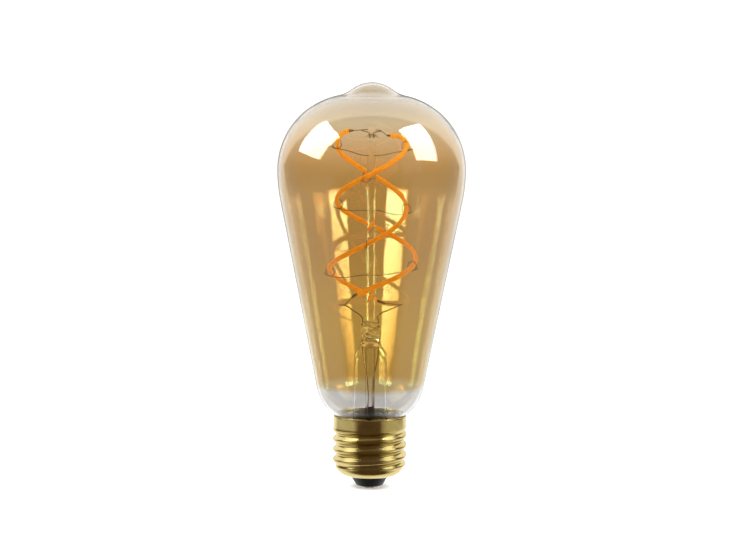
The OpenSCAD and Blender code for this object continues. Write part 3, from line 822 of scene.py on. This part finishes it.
def swept(name, points, radius, finish, flatness=1.0, sides=12, spacing=0.35, ripple=0.0, smooth=True):
    """A section swept along a curve through points. All sizes are in millimetres."""
    data = bpy.data.curves.new(name, "CURVE")
    data.dimensions = "3D"
    data.resolution_u = 10
    data.twist_mode = "Z_UP" if flatness != 1.0 else "MINIMUM"
    spline = data.splines.new("BEZIER" if smooth else "POLY")
    knots = spline.bezier_points if smooth else spline.points
    knots.add(len(points) - 1)
    for knot, point in zip(knots, points):
        place = Vector(point) * MM
        if smooth:
            knot.co = place
            knot.handle_left_type = knot.handle_right_type = "AUTO"
        else:
            knot.co = (*place, 1.0)
    source = bpy.data.objects.new(name + "_path", data)
    bpy.context.scene.collection.objects.link(source)
    modifier = source.modifiers.new("sweep", "NODES")
    modifier.node_group = SWEEP
    values = {
        "Radius": radius * MM, "Flatness": flatness, "Spacing": spacing * MM, "Ripple": ripple * MM,
        "Sides": sides, "Finish": finish,
    }
    for item in SWEEP.interface.items_tree:
        if item.in_out == "INPUT" and item.name in values:
            modifier[item.identifier] = values[item.name]
    piece = plain_mesh(source, name)
    outwards(piece)
    return piece


# %% [markdown]
# ### Phosphor sleeves
# Each filament is a flexible strip of bare LED chips in an orange silicone sleeve that glows when it is
# lit. It hangs in a loose spiral, clockwise going down. Two sleeves start on opposite sides of the bead,
# fall at a steady rate and swell outwards on the lowest turn. The rule below is the design's own, and
# the sleeve is swept along it with a slightly flattened, faintly uneven section. A weak emission, which
# is a painted glow and not the lit lamp's own light, keeps its colour bright through the amber glass.

# %% The spiral's rule
START_A, END_A = (130.0, -55.0), (640.0, 470.0)
START_Z, FALL, EASE = (125.3, 123.3), (0.1214, 0.1084), (20.0, 60.0)
SPIRAL_R, SWELL, SWELL_Z, SWELL_REACH, LEAN = 12.1, 3.2, 78.0, 11.0, 0.7


def on_spiral(radius, angle, z):
    a = math.radians(angle)
    return Vector((radius * math.cos(a), -radius * math.sin(a), z))


def outward(angle):
    return on_spiral(1.0, angle, 0.0)


def spiral_z(f, angle):
    turned_by = angle - START_A[f]
    eased = turned_by ** 2 / (2 * EASE[f]) if turned_by < EASE[f] else turned_by - EASE[f] / 2
    return START_Z[f] - FALL[f] * eased


def spiral_point(f, angle):
    z = spiral_z(f, angle)
    swelling = math.exp(-(((z - SWELL_Z) / SWELL_REACH) ** 2))
    return on_spiral(SPIRAL_R + SWELL * swelling, angle, z) + Vector((LEAN * swelling, 0, 0))


def spiral_path(f, step=2.5):
    count = round((END_A[f] - START_A[f]) / step)
    return [spiral_point(f, START_A[f] + (END_A[f] - START_A[f]) * i / count) for i in range(count + 1)]


# %% Phosphor finish
def phosphor():
    material, nodes, links, surface = fresh_material("phosphor_silicone")
    tone = ramp(nodes, links, noise(nodes, links, 900.0), [
        (0.3, (0.84, 0.34, 0.010)), (0.55, (0.92, 0.42, 0.016)), (0.8, (0.97, 0.50, 0.028)),
    ])
    links.new(tone, surface.inputs["Base Color"])
    # The sleeve's colour is also its emission: a painted glow that keeps it bright through the amber glass.
    links.new(tone, surface.inputs["Emission Color"])
    surface.inputs["Emission Strength"].default_value = 0.4
    surface.inputs["Specular IOR Level"].default_value = 0.25
    surface.inputs["Subsurface Weight"].default_value = 0.25
    surface.inputs["Subsurface Radius"].default_value = (1.0, 0.4, 0.1)
    surface.inputs["Subsurface Scale"].default_value = 0.0005
    worn(nodes, links, surface, noise(nodes, links, 1500.0), 0.38, 0.55)
    bumped(nodes, links, surface, noise(nodes, links, 2200.0), 0.3, 0.00006)
    return material


phosphor_finish = phosphor()
SLEEVE_R, SLEEVE_FLAT = 0.84, 0.94
for f in range(2):
    sleeve = swept(
        f"orange_sleeve_{f + 1}", spiral_path(f), SLEEVE_R, phosphor_finish,
        flatness=SLEEVE_FLAT, sides=20, spacing=0.5, ripple=0.04, smooth=False,
    )
    finished(sleeve, "phosphor", None, f"phosphor_sleeve_{f + 1}")

# %% [markdown]
# ### Support wires and leads
# Ten nickel hooks reach out from the rod and curl once round a filament. Thin tabs leave the filament's
# ends: the top pair is held by two wires rooted in the bead, and the bottom pair is welded to the
# leads. Each lead has three lengths: bright nickel above the press, a short copper-clad piece that glass
# will seal to, and bare copper below.

# %% Wire finish
def drawn_wire(name, dark, light, metallic, roughness):
    """A drawn wire: fine mottled tone and a dull, slightly blotched shine."""
    material, nodes, links, surface = fresh_material(name)
    mottled(nodes, links, surface, noise(nodes, links, 1800.0, 4.0), dark, light)
    surface.inputs["Metallic"].default_value = metallic
    worn(nodes, links, surface, noise(nodes, links, 3000.0), *roughness)
    bumped(nodes, links, surface, noise(nodes, links, 5000.0), 0.2, 0.00002)
    return material


nickel = drawn_wire("nickel_wire", (0.16, 0.11, 0.06), (0.30, 0.21, 0.12), 0.9, (0.28, 0.45))
clad = drawn_wire("copper_clad_wire", (0.42, 0.14, 0.08), (0.55, 0.22, 0.12), 0.9, (0.25, 0.40))
copper = drawn_wire("bare_copper_wire", (0.30, 0.15, 0.08), (0.50, 0.27, 0.15), 0.95, (0.25, 0.40))

# %% Hooks
HOOKS = 5
HOOK_A, HOOK_STEP = (182.0, 8.0), (92.0, 95.0)
HOOK_DROP = (3.4, 0.8, 1.0, 0.8, 2.2)
# A thinner wire and a wider loop than in the design, because they read better through the glass
HOOK_R, HOOK_ROOT_R, LOOP_R, LOOP_SHIFT = 0.13, 0.7, 1.6, 0.5


def hook_path(f, k):
    """A straight wire from the rod that curls once round the filament and ends in a short tail."""
    angle = HOOK_A[f] + HOOK_STEP[f] * k
    out = outward(angle)
    along = on_spiral(1.0, angle + 90.0, 0.0)
    heights = [spiral_z(g, HOOK_A[g] + HOOK_STEP[g] * k) for g in range(2)]
    root = on_spiral(HOOK_ROOT_R, angle, sum(heights) / 2 - HOOK_DROP[k])
    up = Vector((0, 0, 1))
    centre = spiral_point(f, angle) + up * 0.3
    foot = centre - up * LOOP_R
    curl = []
    for i in range(13):
        t = math.radians(-90 + 30 * i)
        shift = along * LOOP_SHIFT * (i / 12 - 0.5)
        curl.append(centre + (out * math.cos(t) + up * math.sin(t)) * LOOP_R + shift)
    tail = curl[-1] + out * 1.6 + up * 0.35
    reach = foot - out * 3 - up * 0.5 - along * LOOP_SHIFT / 2
    return [root, root + out * 1.6, reach, *curl, tail, tail + out * 0.8 + up * 0.6]


for f in range(2):
    for k in range(HOOKS):
        name = f"support_hook_{f + 1}_{k + 1}"
        hook = swept(name, hook_path(f, k), HOOK_R, nickel, sides=10, spacing=0.3)
        finished(hook, "nickel_wire", None, f"hook_{f + 1}_{k + 1}")

# %% Leads
LEAD_R = 0.19
UPPER = (
    ((2.75, 0, 58.2), (2.75, 0, 59), (2.4, 0, 60.1), (3.2, 0.6, 61.1), (6.7, 3, 62.4),
     (10.2, 5.8, 63.6), (11.4, 6.6, 63.8)),
    ((-2.75, 0, 58.2), (-2.75, 0, 59), (-3, -0.2, 60), (-5.7, -2.6, 62.4), (-7.4, -4.6, 63.8),
     (-8.8, -6, 64.8), (-10.9, -7, 65.1)),
)
LOWER = (
    ((2.75, 0, 50.4), (2.75, 0, 48.5), (2.3, 1.4, 44), (1.2, 2.4, 38), (1.4, 2.5, 24),
     (3, 0.6, 17.2), (3, -0.3, 15.2), (3, -0.3, 13.6)),
    ((-2.75, 0, 50.4), (-2.75, 0, 48.5), (-2, -1.5, 44), (-0.9, -2.4, 38), (-1.2, -2.5, 24),
     (-3, -1.2, 17.2), (-3, -0.3, 15.2), (-3, -0.3, 13.6)),
)
for f in range(2):
    upper = swept(f"nickel_lead_{f + 1}", UPPER[f], LEAD_R, nickel, spacing=0.3)
    finished(upper, "nickel_wire", None, f"upper_lead_{f + 1}")
    lower = swept(f"copper_lead_{f + 1}", LOWER[f], LEAD_R, copper, spacing=0.5)
    finished(lower, "copper_wire", None, f"lower_lead_{f + 1}")
    low, high = (corner.z for corner in size_of(f"seal_wire_{f + 1}"))
    x = LOWER[f][0][0]
    seal = swept(f"clad_wire_{f + 1}", [(x, 0, low), (x, 0, high)], 0.2, clad, sides=16, smooth=False)
    finished(seal, "dumet", None, f"seal_wire_{f + 1}")

# %% [markdown]
# ## The brass cap
# The cap is one cup of thin brass sheet. Its thread is rolled into it: the wall itself waves in and out
# along a right-handed screw line, inside as well as outside, and fades into a plain skirt above and a
# rounded rim below. The wall is modelled as that rule says, in rings fine enough for each wave to catch
# its own highlight.

# %% Roll the cap
BRASS_T = 0.3
CREST_R, ROOT_R, SKIRT_R = 13.05, 12.0, 12.85
PITCH, CREST_Z = 3.629, 11.4
THREAD_Z, THREAD_FADE = (7.2, 21.3), (1.2, 1.8)
RIM_R, RIM_HOLE_R = 5.2, 6.75
MID_R = (CREST_R + ROOT_R) / 2
rim_c = (MID_R - RIM_R, brass_z + RIM_R)


def thread_depth(z):
    """Share of the full wave at height z."""
    share = min(1.0, (z - THREAD_Z[0]) / THREAD_FADE[0], (THREAD_Z[1] - z) / THREAD_FADE[1])
    return max(0.0, share)


def thread_middle(z, inset):
    if z > rim_c[1]:
        return MID_R - inset + (SKIRT_R - MID_R) * max(0.0, (z - THREAD_Z[1] + 2.4) / 2.4)
    return rim_c[0] + math.sqrt((RIM_R - inset) ** 2 - (z - rim_c[1]) ** 2)


def cap_rows(inset):
    """Rows of (radius, height, share of the wave), from the mouth to the rim's hole."""
    top = skirt_top_z
    rows = [(SKIRT_R - inset, top - 0.4 * i, 0.0) for i in range(1, 10)]
    lip = 0.12
    rows.insert(0, (SKIRT_R - inset * 0.5 - lip * (inset == 0), top, 0.0))
    rows.insert(1, (SKIRT_R - inset, top - lip, 0.0))
    steps = 110
    for i in range(steps + 1):
        z = THREAD_Z[1] - (THREAD_Z[1] - THREAD_Z[0]) * i / steps
        rows.append((thread_middle(z, inset), z, thread_depth(z)))
    rows += [(r, z, 0.0) for r, z in arc(rim_c, RIM_R - inset, -24.5, -90, 20)]
    return rows + [(RIM_HOLE_R, brass_z + inset, 0.0)]


def brass_cap(steps=200):
    rows = cap_rows(0.0) + cap_rows(BRASS_T)[::-1]
    depth = (CREST_R - ROOT_R) / 2
    points, faces = [], []
    for radius, z, share in rows:
        for j in range(steps):
            a = math.tau * j / steps
            r = radius + share * depth * math.cos(math.tau * (z - CREST_Z) / PITCH - a)
            points.append((r * math.cos(a), r * math.sin(a), z))
    for i in range(len(rows)):
        a, b = i * steps, (i + 1) % len(rows) * steps
        for j in range(steps):
            k = (j + 1) % steps
            faces.append([a + j, b + j, b + k, a + k])
    piece = smooth_piece("brass_cap", points, faces)
    outwards(piece)
    return piece


# %% Brass finish
def brass():
    """Rolled brass: fine lines round the cap, faint tarnish and a soft gloss."""
    material, nodes, links, surface = fresh_material("rolled_brass")
    tarnish = noise(nodes, links, 160.0, 5.0)
    tone = ramp(nodes, links, tarnish, [
        (0.25, (0.58, 0.44, 0.13)), (0.5, (0.70, 0.55, 0.20)), (0.75, (0.78, 0.63, 0.26)),
    ])
    links.new(tone, surface.inputs["Base Color"])
    surface.inputs["Metallic"].default_value = 1.0
    worn(nodes, links, surface, noise(nodes, links, 380.0, 4.0), 0.17, 0.27)
    bumped(nodes, links, surface, noise(nodes, links, 1.0, 2.0, (60.0, 60.0, 5000.0)), 0.06, 0.00003)
    return material


cap = finished(brass_cap(), "brass", brass(), "screw_shell")

# The strong pair of softboxes leaves the cap to the weak pair
cap_only = bpy.data.collections.new("cap_only")
cap_only.objects.link(cap)
cap_only.collection_objects[0].light_linking.link_state = "EXCLUDE"
for light in glass_lights:
    light.light_linking.receiver_collection = cap_only

# %% [markdown]
# ## Insulator and contact
# Black glass is cast in the bottom of the cap and grips the rim. A small contact disc is pressed through
# its middle, with a dome of solder that holds the live wire.

# %% Insulator and contact
contact_r = size_of("centre_contact")[1].x


def insulator_outline():
    hole, grip = 1.3, RIM_HOLE_R - 0.02
    points = [(hole, 0.5), (contact_r + 0.1, 0.5)]
    points += arc((contact_r + 0.3, 1.4), 0.9, -80, -38, 6)
    points += [(grip - 0.25, brass_z - 0.45), (grip - 0.06, brass_z - 0.2), (grip, brass_z - 0.1)]
    points += [(grip, brass_z + BRASS_T + 0.04)]
    points += arc(rim_c, RIM_R - BRASS_T - 0.05, -86, -42, 14)
    return points + [(9.8, 7.0), (hole, 7.0)]


def contact_outline():
    r = contact_r
    points = [(1.4, 0.04), (1.8, 0.0), (r - 0.5, 0.0)]
    points += arc((r - 0.35, 0.3), 0.3, -90, 20, 6)
    return points + [(r - 0.1, 0.48), (1.25, 0.48), (1.25, 6.4), (0.5, 6.4), (0.5, 0.32), (1.4, 0.32)]


def solder_outline():
    return [(0.0, 0.03), (0.7, 0.04), (1.2, 0.09), (1.38, 0.2), (1.38, 0.3), (0.0, 0.3)]


def black_glass():
    material, nodes, links, surface = fresh_material("black_cap_glass")
    dark, light = (0.002, 0.002, 0.002), (0.005, 0.0045, 0.0045)
    mottled(nodes, links, surface, noise(nodes, links, 500.0), dark, light)
    surface.inputs["Specular IOR Level"].default_value = 0.2
    worn(nodes, links, surface, noise(nodes, links, 900.0), 0.32, 0.46)
    bumped(nodes, links, surface, noise(nodes, links, 1400.0), 0.25, 0.00006)
    return material


def grained(name, dark, light, roughness, scale, strength=0.2, metallic=0.0, detail=4.0, relief=0.00004):
    """A plain finish with fine grain. Its bumps are strength strong and relief metres deep."""
    material, nodes, links, surface = fresh_material(name)
    mottled(nodes, links, surface, noise(nodes, links, scale, detail), dark, light)
    surface.inputs["Metallic"].default_value = metallic
    worn(nodes, links, surface, noise(nodes, links, scale * 2.0), *roughness)
    bumped(nodes, links, surface, noise(nodes, links, scale * 1.5), strength, relief)
    return material


contact_finish = grained(
    "contact_disc_metal", (0.62, 0.55, 0.42), (0.80, 0.74, 0.60), (0.22, 0.38), 600.0,
    metallic=1.0, detail=3.0, relief=0.00005,
)
solder_finish = grained(
    "solder_metal", (0.50, 0.50, 0.50), (0.72, 0.72, 0.70), (0.25, 0.50), 1200.0,
    strength=0.5, metallic=1.0, detail=3.0, relief=0.00005,
)
finished(turned("black_insulator", insulator_outline(), 96), "black_insulator", black_glass(), "insulator")
finished(turned("contact_disc", contact_outline(), 96), "contact_metal", contact_finish, "centre_contact")
finished(turned("solder_dome", solder_outline(), 48), "solder", solder_finish, "contact_solder")

# %% [markdown]
# ## Pieces that keep their CAD shape
# The driver, the radio and the small wires are hidden in the cap, and their CAD shapes are right. They
# keep those meshes and get their own finishes: each has its real colour with grain at its own scale.

# %% Finishes for the carried pieces
GRAINED = {
    "cement": ("capping_cement", (0.62, 0.56, 0.40), (0.82, 0.76, 0.58), (0.8, 0.95), 900.0, 0.6),
    "flex_board": ("white_flex_strip", (0.80, 0.78, 0.72), (0.88, 0.86, 0.80), (0.4, 0.55), 1200.0),
    "led_chip": ("bare_led_chip", (0.45, 0.60, 0.72), (0.60, 0.75, 0.85), (0.1, 0.2), 3000.0),
    "liner_plastic": ("nylon_liner", (0.80, 0.80, 0.77), (0.88, 0.88, 0.85), (0.45, 0.6), 700.0),
    "circuit_board": ("green_board", (0.02, 0.16, 0.07), (0.03, 0.24, 0.11), (0.3, 0.45), 1600.0),
    "radio_circuit_board": ("blue_board", (0.01, 0.05, 0.18), (0.02, 0.08, 0.28), (0.3, 0.45), 1600.0),
    "black_package": ("moulded_epoxy", (0.015, 0.015, 0.016), (0.035, 0.035, 0.036), (0.45, 0.65), 2400.0),
    "capacitor_sleeve": ("shrink_sleeve", (0.02, 0.03, 0.12), (0.03, 0.05, 0.20), (0.2, 0.35), 800.0),
    "ferrite": ("sintered_ferrite", (0.05, 0.05, 0.055), (0.10, 0.10, 0.105), (0.5, 0.7), 2000.0, 0.5),
    "resistor_coat": ("flameproof_coat", (0.12, 0.30, 0.20), (0.18, 0.42, 0.30), (0.25, 0.4), 1500.0),
    "shield_can": ("tinned_steel", (0.55, 0.55, 0.53), (0.75, 0.75, 0.73), (0.2, 0.35), 500.0, 0.2, 1.0),
    "gold_trace": ("gold_flash", (0.70, 0.50, 0.18), (0.85, 0.66, 0.30), (0.2, 0.35), 1500.0, 0.2, 1.0),
    "red_sleeve": ("red_wire_sleeve", (0.40, 0.02, 0.02), (0.55, 0.04, 0.03), (0.3, 0.45), 900.0),
}
carried = {slot: grained(*look) for slot, look in GRAINED.items()}
carried.update(nickel_wire=nickel, copper_wire=copper, solder=solder_finish)
shown = [piece.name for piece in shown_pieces()]
for part in frame["record"]["subparts"]:
    node, slot = part["node"], part["material_slot"]
    piece = frame["nodes"][node]
    if piece.name in shown and slot in carried:
        piece.data.materials.clear()
        piece.data.materials.append(carried[slot])
